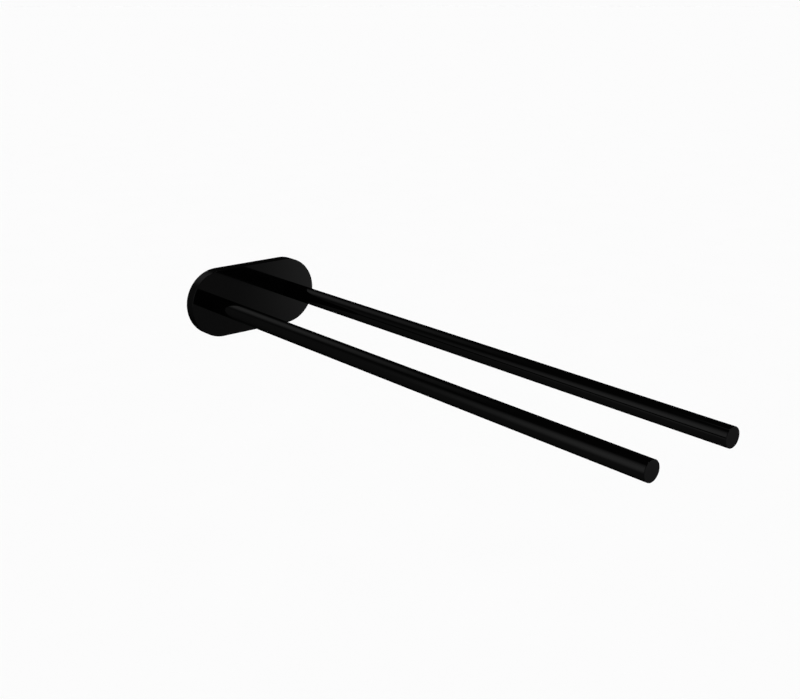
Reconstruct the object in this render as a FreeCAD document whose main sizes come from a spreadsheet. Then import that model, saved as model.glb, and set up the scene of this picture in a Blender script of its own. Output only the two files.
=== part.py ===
import FreeCAD, Part
import math
import os

import Sketcher

# Double towel bar: two round tubes run square out of an oval cover plate, which hooks over a dovetail
# bracket on the wall. Millimetres, +Z up. The wall is the plane y = 0, the bars reach along -Y, and the
# origin is the middle of the back. Every dovetail face and every set screw's point slopes at 45 degrees.

SIZES = {
    # cover plate: an oval with straight top and bottom, hollow at the back
    "plate_height": 50.0,
    "bar_margin": 20.0,              # bar axis to the plate's round end
    "front_wall": 3.0,
    "rim_wall": 2.6,
    "plate_edge": 0.4,               # rounding of the front edge
    # bars: tubes let into shallow seats in the front wall
    "bar_spacing": 65.5,
    "bar_reach": 400.0,              # wall to free end
    "bar_diameter": 12.0,
    "bar_wall": 1.5,
    "seat_depth": 1.0,
    "seat_clearance": 0.05,
    # plugs in both ends of each tube
    "plug_clearance": 0.02,
    "cap_flange": 1.8,
    "cap_plug": 8.0,
    "cap_lead": 0.5,                 # lead-in chamfer of the plug
    "cap_edge": 0.3,                 # chamfer round the free end
    "insert_length": 20.0,
    "spigot_wall": 0.95,
    "spigot_relief": 0.2,            # the spigot stops this short of the washer
    # screw, spring washer and plain washer behind each bar
    "screw_diameter": 5.0,
    "screw_length": 16.0,
    "screw_tip": 0.6,
    "thread_clearance": 0.05,
    "head_diameter": 9.5,
    "head_height": 2.75,
    "head_edge": 0.8,                # chamfer round the head
    "head_socket": 3.0,              # across flats
    "head_socket_depth": 1.6,
    "washer_clearance": 0.15,
    "plain_washer_width": 2.35,
    "plain_washer_depth": 1.0,
    "spring_washer_width": 1.95,
    "spring_washer_depth": 1.2,
    "spring_split": 0.7,
    "spring_slant": 0.8,             # sideways run of the slanted split
    "wall_gap": 0.55,                # screw head to wall
    # wall bracket: a dovetail block between the two bars
    "bracket_side_gap": 4.75,        # to the plain washers
    "bracket_front_gap": 1.3,        # to the front wall
    "bracket_corner": 2.0,
    "wall_hole_diameter": 4.5,
    "wall_hole_sink": 8.6,           # mouth of the countersink
    "wall_hole_margin": 9.0,         # hole to the bracket's end
    # hooks above the bracket, bosses with set screws below it
    "clamp_margin": 7.0,             # hook and boss to the bracket's end
    "clamp_gap": 0.1,
    "hook_bite": 2.0,
    "hook_width": 8.0,
    "lift_play": 0.4,                # spare room when the cover is lifted off its bracket
    "boss_wall": 0.9,
    "boss_setback": 0.3,             # boss to wall
    "set_screw_diameter": 4.0,
    "set_screw_length": 8.0,
    "set_screw_recess": 0.4,
    "set_screw_socket": 2.0,         # across flats
    "set_screw_socket_depth": 2.5,
}

COUNTERSINK_ANGLE = 90
HEX_SIDES = 6

doc = FreeCAD.newDocument("double_towel_bar")
sheet = doc.addObject("Spreadsheet::Sheet", "Sizes")
for row, (alias, size) in enumerate(SIZES.items(), start=1):
    sheet.set(f"A{row}", alias)
    sheet.set(f"B{row}", str(size))
    sheet.setAlias(f"B{row}", alias)
doc.recompute()

# Sizes that follow from the sheet. Depths count from the wall, heights from the level of the bars.
SCREW_STACK = "(Sizes.plain_washer_depth + Sizes.spring_washer_depth + Sizes.head_height)"
POCKET_DEPTH = f"({SCREW_STACK} + Sizes.wall_gap)"
PLATE_DEPTH = f"({POCKET_DEPTH} + Sizes.front_wall)"
SEAT_LEVEL = f"({PLATE_DEPTH} - Sizes.seat_depth)"
END_RADIUS = "(Sizes.plate_height / 2)"
END_CENTRE = f"(Sizes.bar_spacing / 2 + Sizes.bar_margin - {END_RADIUS})"
INNER_RADIUS = f"({END_RADIUS} - Sizes.rim_wall)"

BAR_RADIUS = "(Sizes.bar_diameter / 2)"
BORE_RADIUS = f"({BAR_RADIUS} - Sizes.bar_wall)"
PLUG_RADIUS = f"({BORE_RADIUS} - Sizes.plug_clearance)"
THREAD_RADIUS = "(Sizes.screw_diameter / 2 + Sizes.thread_clearance)"
SPIGOT_RADIUS = f"({THREAD_RADIUS} + Sizes.spigot_wall)"
WASHER_BORE = "(Sizes.screw_diameter / 2 + Sizes.washer_clearance)"
PLAIN_WASHER_RADIUS = f"({WASHER_BORE} + Sizes.plain_washer_width)"
SPRING_WASHER_RADIUS = f"({WASHER_BORE} + Sizes.spring_washer_width)"

BRACKET_HALF_LENGTH = f"(Sizes.bar_spacing / 2 - {PLAIN_WASHER_RADIUS} - Sizes.bracket_side_gap)"
BRACKET_DEPTH = f"({POCKET_DEPTH} - Sizes.bracket_front_gap)"
SET_SCREW_RADIUS = "(Sizes.set_screw_diameter / 2)"
SET_SCREW_HOLE = f"({SET_SCREW_RADIUS} + Sizes.thread_clearance)"
BOSS_RADIUS = f"({SET_SCREW_HOLE} + Sizes.boss_wall)"
SET_SCREW_DEPTH = f"({BOSS_RADIUS} + Sizes.boss_setback)"
SET_SCREW_FOOT = f"({END_RADIUS} - Sizes.set_screw_recess)"
# the set screw's point meets the lower dovetail face on the screw's own axis
BRACKET_HALF_HEIGHT = (
    f"({SET_SCREW_FOOT} - Sizes.set_screw_length + {BRACKET_DEPTH} - {SET_SCREW_DEPTH} - Sizes.clamp_gap)"
)
CLAMP_X = f"({BRACKET_HALF_LENGTH} - Sizes.clamp_margin)"
HOOK_BASE = f"({BRACKET_HALF_HEIGHT} + Sizes.clamp_gap)"
BOSS_TOP = f"({BRACKET_HALF_HEIGHT} + Sizes.hook_bite + Sizes.lift_play)"
RIM_MIDDLE = f"({END_RADIUS} - Sizes.rim_wall / 2)"
WALL_MIDDLE = f"({POCKET_DEPTH} + Sizes.front_wall / 2)"

SIDES = {"left": "-1", "right": "1"}


def value(expression):
    """Number that an expression over the sheet comes to."""
    return float(sheet.evalExpression(expression))


def new_body(label, x="0", y="0", z="0"):
    """Empty sub-part whose own origin stands at x, y, z."""
    body = doc.addObject("PartDesign::Body", label)
    body.Label = label
    for axis, place in zip("xyz", (x, y, z)):
        body.setExpression(f"Placement.Base.{axis}", place)
    return body


def origin_plane(body, role):
    return next(plane for plane in body.Origin.OriginFeatures if plane.Role == role)


def new_sketch(body, name, role, offset="0"):
    """Sketch on one of the body's origin planes, moved along the plane's normal (-Y on XZ_Plane)."""
    sketch = body.newObject("Sketcher::SketchObject", name)
    sketch.AttachmentSupport = [(origin_plane(body, role), "")]
    sketch.MapMode = "FlatFace"
    sketch.setExpression("AttachmentOffset.Base.z", offset)
    return sketch


def tie(sketch, kind, *items):
    """Constraint whose last item is the expression that sets it."""
    *places, expression = items
    index = sketch.addConstraint(Sketcher.Constraint(kind, *places, value(expression)))
    sketch.setExpression(f"Constraints[{index}]", expression)


def tie_point(sketch, geometry, point, x, y):
    """Place a point of the sketch at x, y from the sketch's origin."""
    tie(sketch, "DistanceX", -1, 1, geometry, point, x)
    tie(sketch, "DistanceY", -1, 1, geometry, point, y)


def outline(sketch, corners):
    """Closed run of straight lines through corners given as pairs of expressions."""
    points = [FreeCAD.Vector(value(x), value(y), 0) for x, y in corners]
    lines = [Part.LineSegment(start, end) for start, end in zip(points, points[1:] + points[:1])]
    sketch.addGeometry(lines, False)
    for line, (x, y) in enumerate(corners):
        sketch.addConstraint(Sketcher.Constraint("Coincident", (line - 1) % len(lines), 2, line, 1))
        tie_point(sketch, line, 1, x, y)


def circle(sketch, x, y, radius):
    centre = FreeCAD.Vector(value(x), value(y), 0)
    index = sketch.addGeometry(Part.Circle(centre, FreeCAD.Vector(0, 0, 1), value(radius)), False)
    tie_point(sketch, index, 3, x, y)
    tie(sketch, "Radius", index, radius)


def arc(sketch, x, y, radius, start, end):
    """Arc round x, y, from one angle to another, in quarter turns."""
    quarter = math.pi / 2
    whole = Part.Circle(FreeCAD.Vector(value(x), value(y), 0), FreeCAD.Vector(0, 0, 1), value(radius))
    index = sketch.addGeometry(Part.ArcOfCircle(whole, start * quarter, end * quarter), False)
    tie_point(sketch, index, 3, x, y)
    tie(sketch, "Radius", index, radius)
    return index


def oval(sketch, radius):
    """Outline with straight top and bottom and half-round ends."""
    right = arc(sketch, END_CENTRE, "0", radius, -1, 1)
    left = arc(sketch, f"-{END_CENTRE}", "0", radius, 1, 3)
    reach, rise = value(END_CENTRE), value(radius)
    top = sketch.addGeometry(
        Part.LineSegment(FreeCAD.Vector(reach, rise, 0), FreeCAD.Vector(-reach, rise, 0)), False)
    bottom = sketch.addGeometry(
        Part.LineSegment(FreeCAD.Vector(-reach, -rise, 0), FreeCAD.Vector(reach, -rise, 0)), False)
    for first, second in ((right, top), (top, left), (left, bottom), (bottom, right)):
        sketch.addConstraint(Sketcher.Constraint("Tangent", first, 2, second, 1))


def round_backed(sketch, x, y, radius, foot):
    """Outline of a half round about x, y with straight flanks down to the level y = foot."""
    back = arc(sketch, x, y, radius, 0, 2)
    left, right = value(f"{x} - {radius}"), value(f"{x} + {radius}")
    corners = [(left, value(y)), (left, value(foot)), (right, value(foot)), (right, value(y))]
    points = [FreeCAD.Vector(across, along, 0) for across, along in corners]
    lines = [Part.LineSegment(start, end) for start, end in zip(points, points[1:])]
    first, base, second = sketch.addGeometry(lines, False)
    sketch.addConstraint([
        Sketcher.Constraint("Tangent", back, 2, first, 1),
        Sketcher.Constraint("Coincident", first, 2, base, 1),
        Sketcher.Constraint("Coincident", base, 2, second, 1),
        Sketcher.Constraint("Tangent", second, 2, back, 1),
        Sketcher.Constraint("Vertical", first),
        Sketcher.Constraint("Vertical", second),
        Sketcher.Constraint("Horizontal", base),
    ])
    tie(sketch, "DistanceY", -1, 1, base, 1, foot)


def hexagon(sketch, across_flats):
    corners = []
    for side in range(HEX_SIDES):
        turn = f"{side} * 360 deg / {HEX_SIDES}"
        corner = f"{across_flats} / (2 * cos(180 deg / {HEX_SIDES}))"
        corners.append((f"{corner} * cos({turn})", f"{corner} * sin({turn})"))
    outline(sketch, corners)


def extrude(body, kind, sketch, length, backwards=False, both_ways=False):
    """Pad or pocket of a sketch. A pocket that takes nothing away is an error."""
    before = body.Shape.Volume if kind == "Pocket" else 0
    feature = body.newObject(f"PartDesign::{kind}", f"{sketch.Name}_{kind.lower()}")
    feature.Profile = sketch
    feature.setExpression("Length", length)
    feature.Reversed = backwards
    feature.SideType = "Symmetric" if both_ways else "One side"
    doc.recompute()
    if kind == "Pocket" and body.Shape.Volume > before - 1e-6:
        raise RuntimeError(f"{feature.Name} cuts nothing")
    return feature


def turn(body, sketch):
    """Full turn of a sketch about its upright axis."""
    feature = body.newObject("PartDesign::Revolution", f"{sketch.Name}_turn")
    feature.Profile = sketch
    feature.ReferenceAxis = (sketch, ["V_Axis"])
    feature.Angle = 360
    doc.recompute()
    return feature


def dress(body, kind, feature, edges, size):
    """Fillet or chamfer on the named edges of a feature."""
    if not edges:
        raise RuntimeError(f"{body.Label} has no edge for its {kind.lower()}")
    dressed = body.newObject(f"PartDesign::{kind}", f"{feature.Name}_{kind.lower()}")
    dressed.Base = (feature, edges)
    dressed.setExpression("Radius" if kind == "Fillet" else "Size", size)
    doc.recompute()
    return dressed


def edges_where(feature, test):
    return [f"Edge{n}" for n, edge in enumerate(feature.Shape.Edges, start=1) if test(edge.BoundBox)]


def flat_at_y(level):
    """Test for edges that lie in the plane y = level."""
    return lambda box: abs(box.YMin - level) < 1e-4 and abs(box.YMax - level) < 1e-4


def make_cover_plate():
    body = new_body("cover_plate")
    rim = new_sketch(body, "plate_outline", "XZ_Plane")
    oval(rim, END_RADIUS)
    plate = extrude(body, "Pad", rim, PLATE_DEPTH)
    dress(body, "Fillet", plate, edges_where(plate, flat_at_y(-value(PLATE_DEPTH))), "Sizes.plate_edge")
    pocket = new_sketch(body, "back_pocket", "XZ_Plane")
    oval(pocket, INNER_RADIUS)
    extrude(body, "Pocket", pocket, POCKET_DEPTH, backwards=True)

    seats = new_sketch(body, "bar_seats", "XZ_Plane", PLATE_DEPTH)
    spigots = new_sketch(body, "spigot_holes", "XZ_Plane", PLATE_DEPTH)
    for sign in SIDES.values():
        circle(seats, f"{sign} * Sizes.bar_spacing / 2", "0", f"{BAR_RADIUS} + Sizes.seat_clearance")
        circle(spigots, f"{sign} * Sizes.bar_spacing / 2", "0", f"{SPIGOT_RADIUS} + Sizes.seat_clearance")
    extrude(body, "Pocket", seats, "Sizes.seat_depth")
    extrude(body, "Pocket", spigots, "Sizes.front_wall")

    # hook: a lug under the top rim whose sloping face lies behind the bracket's upper lip
    hook = new_sketch(body, "hook_profile", "YZ_Plane", CLAMP_X)
    hook_back = f"({BRACKET_DEPTH} - Sizes.hook_bite)"
    outline(hook, [
        (f"-{WALL_MIDDLE}", RIM_MIDDLE),
        (f"-{WALL_MIDDLE}", HOOK_BASE),
        (f"-{BRACKET_DEPTH}", HOOK_BASE),
        (f"-{hook_back}", f"{HOOK_BASE} - Sizes.hook_bite"),
        (f"-{hook_back}", RIM_MIDDLE),
    ])
    hook_lug = extrude(body, "Pad", hook, "Sizes.hook_width", both_ways=True)

    # boss: a round-backed post on the bottom rim, tapped for the set screw
    boss = new_sketch(body, "boss_outline", "XY_Plane", f"-{RIM_MIDDLE}")
    round_backed(boss, CLAMP_X, f"-{SET_SCREW_DEPTH}", BOSS_RADIUS, f"-{WALL_MIDDLE}")
    boss_post = extrude(body, "Pad", boss, f"{RIM_MIDDLE} - {BOSS_TOP}")
    tapping = new_sketch(body, "set_screw_hole", "XY_Plane", f"-{END_RADIUS}")
    circle(tapping, CLAMP_X, f"-{SET_SCREW_DEPTH}", SET_SCREW_HOLE)
    tapped = extrude(body, "Pocket", tapping, f"{END_RADIUS} - {BRACKET_HALF_HEIGHT}", backwards=True)

    mirrored = body.newObject("PartDesign::Mirrored", "other_side")
    mirrored.Originals = [hook_lug, boss_post, tapped]
    mirrored.MirrorPlane = (origin_plane(body, "YZ_Plane"), [""])
    body.Tip = mirrored
    return body


def make_wall_bracket():
    body = new_body("wall_bracket")
    profile = new_sketch(body, "dovetail_profile", "YZ_Plane")
    back_height = f"({BRACKET_HALF_HEIGHT} - {BRACKET_DEPTH})"
    outline(profile, [
        ("0", f"-{back_height}"),
        ("0", back_height),
        (f"-{BRACKET_DEPTH}", BRACKET_HALF_HEIGHT),
        (f"-{BRACKET_DEPTH}", f"-{BRACKET_HALF_HEIGHT}"),
    ])
    block = extrude(body, "Pad", profile, f"2 * {BRACKET_HALF_LENGTH}", both_ways=True)
    slanted_ends = edges_where(block, lambda box: box.XLength < 1e-4 < min(box.YLength, box.ZLength))
    dress(body, "Chamfer", block, slanted_ends, "Sizes.bracket_corner")

    centres = new_sketch(body, "wall_hole_centres", "XZ_Plane", BRACKET_DEPTH)
    for sign in SIDES.values():
        circle(centres, f"{sign} * ({BRACKET_HALF_LENGTH} - Sizes.wall_hole_margin)", "0",
               "Sizes.wall_hole_diameter / 2")
    doc.recompute()
    before = body.Shape.Volume
    holes = body.newObject("PartDesign::Hole", "wall_holes")
    holes.Profile = centres
    holes.DepthType = "ThroughAll"
    holes.HoleCutType = "Countersink"
    holes.HoleCutCustomValues = True
    holes.HoleCutCountersinkAngle = COUNTERSINK_ANGLE
    holes.setExpression("Diameter", "Sizes.wall_hole_diameter")
    holes.setExpression("HoleCutDiameter", "Sizes.wall_hole_sink")
    doc.recompute()
    if body.Shape.Volume > before - 1e-6:
        raise RuntimeError("the wall holes cut nothing")
    return body


def make_bar(side, x):
    body = new_body(f"{side}_bar", x)
    ring = new_sketch(body, f"{side}_tube_ring", "XZ_Plane", SEAT_LEVEL)
    circle(ring, "0", "0", BAR_RADIUS)
    circle(ring, "0", "0", BORE_RADIUS)
    extrude(body, "Pad", ring, f"Sizes.bar_reach - Sizes.cap_flange - {SEAT_LEVEL}")
    return body


def make_end_cap(side, x):
    """Flange and plug, counted from the free end towards the wall."""
    body = new_body(f"{side}_end_cap", x, "-Sizes.bar_reach")
    length = "(Sizes.cap_flange + Sizes.cap_plug)"
    profile = new_sketch(body, f"{side}_cap_profile", "XY_Plane")
    outline(profile, [
        ("0", "0"),
        (f"{BAR_RADIUS} - Sizes.cap_edge", "0"),
        (BAR_RADIUS, "Sizes.cap_edge"),
        (BAR_RADIUS, "Sizes.cap_flange"),
        (PLUG_RADIUS, "Sizes.cap_flange"),
        (PLUG_RADIUS, f"{length} - Sizes.cap_lead"),
        (f"{PLUG_RADIUS} - Sizes.cap_lead", length),
        ("0", length),
    ])
    turn(body, profile)
    return body


def make_bar_insert(side, x):
    """Threaded plug: its shoulder lies flush with the tube's end, its spigot centres the bar in the plate."""
    body = new_body(f"{side}_bar_insert", x, f"-{SEAT_LEVEL}")
    spigot = "(Sizes.front_wall - Sizes.seat_depth - Sizes.spigot_relief)"
    profile = new_sketch(body, f"{side}_insert_profile", "XY_Plane")
    outline(profile, [
        (THREAD_RADIUS, spigot),
        (SPIGOT_RADIUS, spigot),
        (SPIGOT_RADIUS, "0"),
        (PLUG_RADIUS, "0"),
        (PLUG_RADIUS, "-Sizes.insert_length"),
        (THREAD_RADIUS, "-Sizes.insert_length"),
    ])
    turn(body, profile)
    return body


def make_plain_washer(side, x):
    body = new_body(f"{side}_plain_washer", x)
    ring = new_sketch(body, f"{side}_plain_ring", "XZ_Plane", POCKET_DEPTH)
    circle(ring, "0", "0", PLAIN_WASHER_RADIUS)
    circle(ring, "0", "0", WASHER_BORE)
    extrude(body, "Pad", ring, "Sizes.plain_washer_depth", backwards=True)
    return body


def make_spring_washer(side, x):
    """Ring, pressed flat, with a slanted split at the top. Depth counts from the plain washer."""
    body = new_body(f"{side}_spring_washer", x, f"-({POCKET_DEPTH} - Sizes.plain_washer_depth)")
    ring = new_sketch(body, f"{side}_spring_ring", "XZ_Plane")
    circle(ring, "0", "0", SPRING_WASHER_RADIUS)
    circle(ring, "0", "0", WASHER_BORE)
    extrude(body, "Pad", ring, "Sizes.spring_washer_depth", backwards=True)
    split = new_sketch(body, f"{side}_spring_split", "XY_Plane")
    near, far = "-Sizes.spring_slant / 2", "Sizes.spring_slant / 2"
    outline(split, [
        (f"{near} - Sizes.spring_split / 2", "0"),
        (f"{near} + Sizes.spring_split / 2", "0"),
        (f"{far} + Sizes.spring_split / 2", "Sizes.spring_washer_depth"),
        (f"{far} - Sizes.spring_split / 2", "Sizes.spring_washer_depth"),
    ])
    extrude(body, "Pocket", split, SPRING_WASHER_RADIUS, backwards=True)
    return body


def make_bar_screw(side, x):
    """Flat-headed socket screw, counted from under its head. The head faces the wall."""
    body = new_body(f"{side}_bar_screw", x, "-(Sizes.head_height + Sizes.wall_gap)")
    shank = "(Sizes.screw_diameter / 2)"
    profile = new_sketch(body, f"{side}_screw_profile", "XY_Plane")
    outline(profile, [
        ("0", "Sizes.head_height"),
        ("Sizes.head_diameter / 2 - Sizes.head_edge", "Sizes.head_height"),
        ("Sizes.head_diameter / 2", "Sizes.head_height - Sizes.head_edge"),
        ("Sizes.head_diameter / 2", "0"),
        (shank, "0"),
        (shank, "Sizes.screw_tip - Sizes.screw_length"),
        (f"{shank} - Sizes.screw_tip", "-Sizes.screw_length"),
        ("0", "-Sizes.screw_length"),
    ])
    turn(body, profile)
    socket = new_sketch(body, f"{side}_screw_socket", "XZ_Plane", "-Sizes.head_height")
    hexagon(socket, "Sizes.head_socket")
    extrude(body, "Pocket", socket, "Sizes.head_socket_depth", backwards=True)
    return body


def make_set_screw(side, sign):
    """Grub screw, counted from its socket end up to its point."""
    body = new_body(f"{side}_set_screw", f"{sign} * {CLAMP_X}", f"-{SET_SCREW_DEPTH}", f"-{SET_SCREW_FOOT}")
    profile = new_sketch(body, f"{side}_grub_profile", "XZ_Plane")
    outline(profile, [
        ("0", "0"),
        (SET_SCREW_RADIUS, "0"),
        (SET_SCREW_RADIUS, f"Sizes.set_screw_length - {SET_SCREW_RADIUS}"),
        ("0", "Sizes.set_screw_length"),
    ])
    turn(body, profile)
    socket = new_sketch(body, f"{side}_grub_socket", "XY_Plane")
    hexagon(socket, "Sizes.set_screw_socket")
    extrude(body, "Pocket", socket, "Sizes.set_screw_socket_depth", backwards=True)
    return body


def check(bodies):
    """Stop before anything is written if an object failed or a sub-part isn't one good solid."""
    doc.recompute()
    failed = [item.Name for item in doc.Objects if {"Invalid", "Error"} & set(item.State)]
    if failed:
        raise RuntimeError(f"failed objects: {failed}")
    for body in bodies:
        shape = body.Shape
        if shape.isNull() or not shape.isValid() or len(shape.Solids) != 1 or shape.Volume <= 0:
            raise RuntimeError(f"{body.Label} is not one valid solid")


bodies = [make_cover_plate(), make_wall_bracket()]
for side, sign in SIDES.items():
    bar_x = f"{sign} * Sizes.bar_spacing / 2"
    for make in (make_bar, make_end_cap, make_bar_insert, make_plain_washer, make_spring_washer, make_bar_screw):
        bodies.append(make(side, bar_x))
    bodies.append(make_set_screw(side, sign))
check(bodies)

os.makedirs("parts", exist_ok=True)
for body in bodies:
    body.Shape.exportStep(f"parts/{body.Label}.step")
    box = body.Shape.optimalBoundingBox()
    print(f"{body.Label}: {body.Shape.Volume / 1000:.3f} cm3, "
          f"x {box.XMin:.2f} to {box.XMax:.2f}, y {box.YMin:.2f} to {box.YMax:.2f}, "
          f"z {box.ZMin:.2f} to {box.ZMax:.2f}")
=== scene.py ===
# %% [markdown]
# # A double towel bar in gloss black
#
# Two round tubes reach straight out from an oval plate. The plate is a hollow cover: behind it a
# dovetail bracket is screwed to the wall, the cover hooks over the bracket's upper edge, and two set
# screws in the underside pull it tight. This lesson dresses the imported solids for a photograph. All
# lengths are metres in the solids' own frame: the wall is the plane y = 0, the bars reach along -Y.

import math

import bmesh
import bpy
import numpy as np
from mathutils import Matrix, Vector


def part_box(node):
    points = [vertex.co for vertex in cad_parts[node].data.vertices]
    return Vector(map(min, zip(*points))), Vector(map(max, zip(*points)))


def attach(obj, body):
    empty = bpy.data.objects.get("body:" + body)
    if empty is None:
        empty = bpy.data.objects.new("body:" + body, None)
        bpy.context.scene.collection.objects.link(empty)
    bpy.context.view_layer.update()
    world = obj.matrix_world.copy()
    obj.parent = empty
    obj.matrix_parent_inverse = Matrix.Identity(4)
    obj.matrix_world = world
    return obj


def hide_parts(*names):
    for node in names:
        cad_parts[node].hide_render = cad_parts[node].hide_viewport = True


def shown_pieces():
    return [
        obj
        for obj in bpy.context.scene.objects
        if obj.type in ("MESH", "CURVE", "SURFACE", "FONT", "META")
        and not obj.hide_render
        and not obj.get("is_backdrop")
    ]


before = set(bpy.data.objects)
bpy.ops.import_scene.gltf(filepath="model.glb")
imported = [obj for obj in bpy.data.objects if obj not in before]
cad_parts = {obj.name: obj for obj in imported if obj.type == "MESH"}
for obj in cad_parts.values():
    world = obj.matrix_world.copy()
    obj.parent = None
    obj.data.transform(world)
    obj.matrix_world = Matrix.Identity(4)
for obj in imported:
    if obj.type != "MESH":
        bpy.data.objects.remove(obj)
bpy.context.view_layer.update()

# %% [markdown]
# ## Sizes
#
# The solids hold the real sizes, so most are read from their boxes, and the visible pieces follow them.
# They could be typed in again, but then a change to a solid would leave its visible piece behind. Walls,
# clearances and roundings can't be seen in a box, so these are written here once, in millimetres.

# %% Read the sizes of the plate and the bars
MM = 0.001

plate_low, plate_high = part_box("cover_plate")
PLATE_HALF_LENGTH = plate_high.x
END_RADIUS = plate_high.z
END_CENTRE = PLATE_HALF_LENGTH - END_RADIUS
PLATE_FRONT = plate_low.y

bar_low, bar_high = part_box("right_bar")
BAR_X = (bar_low.x + bar_high.x) / 2
BAR_RADIUS = bar_high.z
BAR_SEAT = bar_high.y
BAR_END = bar_low.y

RIM_WALL = 2.6 * MM
FRONT_WALL = 3.0 * MM
POCKET_FLOOR = PLATE_FRONT + FRONT_WALL
BAR_WALL = 1.5 * MM
BORE_RADIUS = BAR_RADIUS - BAR_WALL
SPIGOT_RADIUS = 3.5 * MM
SEAT_CLEARANCE = 0.05 * MM

SIDES = {"left": -1, "right": 1}
print(f"plate {2 * PLATE_HALF_LENGTH / MM:.1f} x {2 * END_RADIUS / MM:.1f} mm, "
      f"bars {2 * BAR_RADIUS / MM:.1f} mm thick at x = {BAR_X / MM:.2f} mm")

# %% [markdown]
# ## From grids to pieces
#
# Every piece here is one or more grids of points: rows run along a profile, columns run once round and
# close on themselves. Menu shapes with modifiers could make much the same, but a grid shows its formula
# and puts each point where it is meant to be. Neighbouring grids share their edge points, so welding
# makes one closed skin. A row whose points all fall together becomes a pole. Blender then turns the faces
# outwards, shades them smooth and keeps an edge sharp where two faces meet at more than thirty degrees.

# %% Weld grids into a piece
WELD = 0.001 * MM
SHARP_ANGLE = math.radians(30)


def skin(name, *grids):
    """Mesh object whose faces join each grid point to the next row and to the next column."""
    quads = []
    first = 0
    for grid in grids:
        rows, columns, _ = grid.shape
        index = first + np.arange(rows * columns).reshape(rows, columns)
        after = np.roll(index, -1, axis=1)
        quads.append(np.stack([index[:-1], after[:-1], after[1:], index[1:]], axis=-1).reshape(-1, 4))
        first += rows * columns
    mesh = bpy.data.meshes.new(name)
    mesh.from_pydata(np.concatenate([grid.reshape(-1, 3) for grid in grids]), [], np.concatenate(quads))
    shell = bmesh.new()
    shell.from_mesh(mesh)
    bmesh.ops.remove_doubles(shell, verts=shell.verts, dist=WELD)
    bmesh.ops.dissolve_degenerate(shell, edges=shell.edges, dist=WELD)
    bmesh.ops.recalc_face_normals(shell, faces=shell.faces)
    open_edges = sum(not edge.is_manifold for edge in shell.edges)
    shell.to_mesh(mesh)
    shell.free()
    piece = bpy.data.objects.new(name, mesh)
    bpy.context.scene.collection.objects.link(piece)
    finish_shading(piece)
    print(f"{name}: {len(mesh.vertices)} points, {len(mesh.polygons)} faces, {open_edges} open edges")
    return piece


def finish_shading(piece):
    """Smooth faces, with an edge kept sharp where they meet at more than the sharp angle."""
    piece.data.shade_smooth()
    piece.data.set_sharp_from_angle(angle=SHARP_ANGLE)


print(f"points within {WELD / MM} mm are welded")

# %% Set a piece in place of a solid


def stand_for(piece, node):
    """The piece takes the place of a solid, which is hidden, and moves with the part."""
    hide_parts(node)
    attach(piece, "root")


def pair(make):
    """The left and the right piece that a function makes. It takes the side's name and its sign on X."""
    return [make(side, sign) for side, sign in SIDES.items()]


# %% [markdown]
# ## The cover plate
#
# The plate is a casting with a straight top and bottom and half-round ends, hollow at the back. Its rim
# is a profile carried along an oval: round the front edge, back along the side, across the rim's back and
# down the inner wall to the pocket. Its flat faces have a hole for each bar, so each half is a ruled
# surface between the hole's circle and the half's outline: point t of column j lies at
# (1 - t) circle_j + t outline_j. A grid fits this better than a Boolean, because the flat front has to
# stay flat to mirror the bars without ripples.

# %% Oval path and rim
ARC_STEPS = 96
LINE_STEPS = 40
ROUND_STEPS = 6
PLATE_EDGE = 0.4 * MM
CREASE = 0.03 * MM  # narrow strip beside a rounding, which keeps the shading of the flat face flat


def oval(inset):
    """Oval moved inwards by inset, as (x, z) points: half circles of radius R - inset round x = +-c, joined
    by straight lines. Starts below the middle and runs to the right."""
    radius = END_RADIUS - inset
    angle = np.linspace(-np.pi / 2, np.pi / 2, ARC_STEPS + 1)
    right_end = np.stack([END_CENTRE + radius * np.cos(angle), radius * np.sin(angle)], axis=-1)
    half_line = np.linspace(0, END_CENTRE, LINE_STEPS // 2, endpoint=False)
    low = np.stack([half_line, np.full_like(half_line, -radius)], axis=-1)
    right_half = np.concatenate([low, right_end, (low * [1, -1])[::-1]])
    left_half = (right_half * [-1, 1])[::-1]
    return np.concatenate([right_half, left_half[1:-1]])


def at_level(outline, y):
    """Points (x, z) of an outline set at the depth y."""
    return np.insert(outline, 1, y, axis=1)


def rounded_edge(radius):
    """Quarter circle from a face to its side as pairs of inset and depth: radius (1 - sin a) and
    radius (1 - cos a)."""
    angle = np.linspace(0, np.pi / 2, ROUND_STEPS + 1)
    return list(zip(radius * (1 - np.sin(angle)), radius * (1 - np.cos(angle))))


front_inset = PLATE_EDGE + CREASE
edge_profile = [
    (front_inset, PLATE_FRONT),
    *((inset, PLATE_FRONT + depth) for inset, depth in rounded_edge(PLATE_EDGE)),
    (0, PLATE_FRONT + front_inset),
    (0, 0),
    (RIM_WALL, 0),
    (RIM_WALL, POCKET_FLOOR),
]
rim = np.stack([at_level(oval(inset), y) for inset, y in edge_profile])
print("rim grid", rim.shape)

# %% Halves of the plate with their bar seats
MIDDLE_STEPS = 24


def half_outline(inset):
    """Right half of the oval, closed by the straight line x = 0."""
    whole = oval(inset)
    half = whole[:len(whole) // 2 + 1]
    middle = np.linspace(1, -1, MIDDLE_STEPS + 1)[1:-1]
    return np.concatenate([half, np.stack([0 * middle, half[-1, 1] * middle], axis=-1)])


def ring_towards(outline, centre_x, radius):
    """Circle about (centre_x, 0) with one point in the direction of each outline point."""
    away = outline - [centre_x, 0]
    return [centre_x, 0] + radius * away / np.linalg.norm(away, axis=1, keepdims=True)


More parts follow.
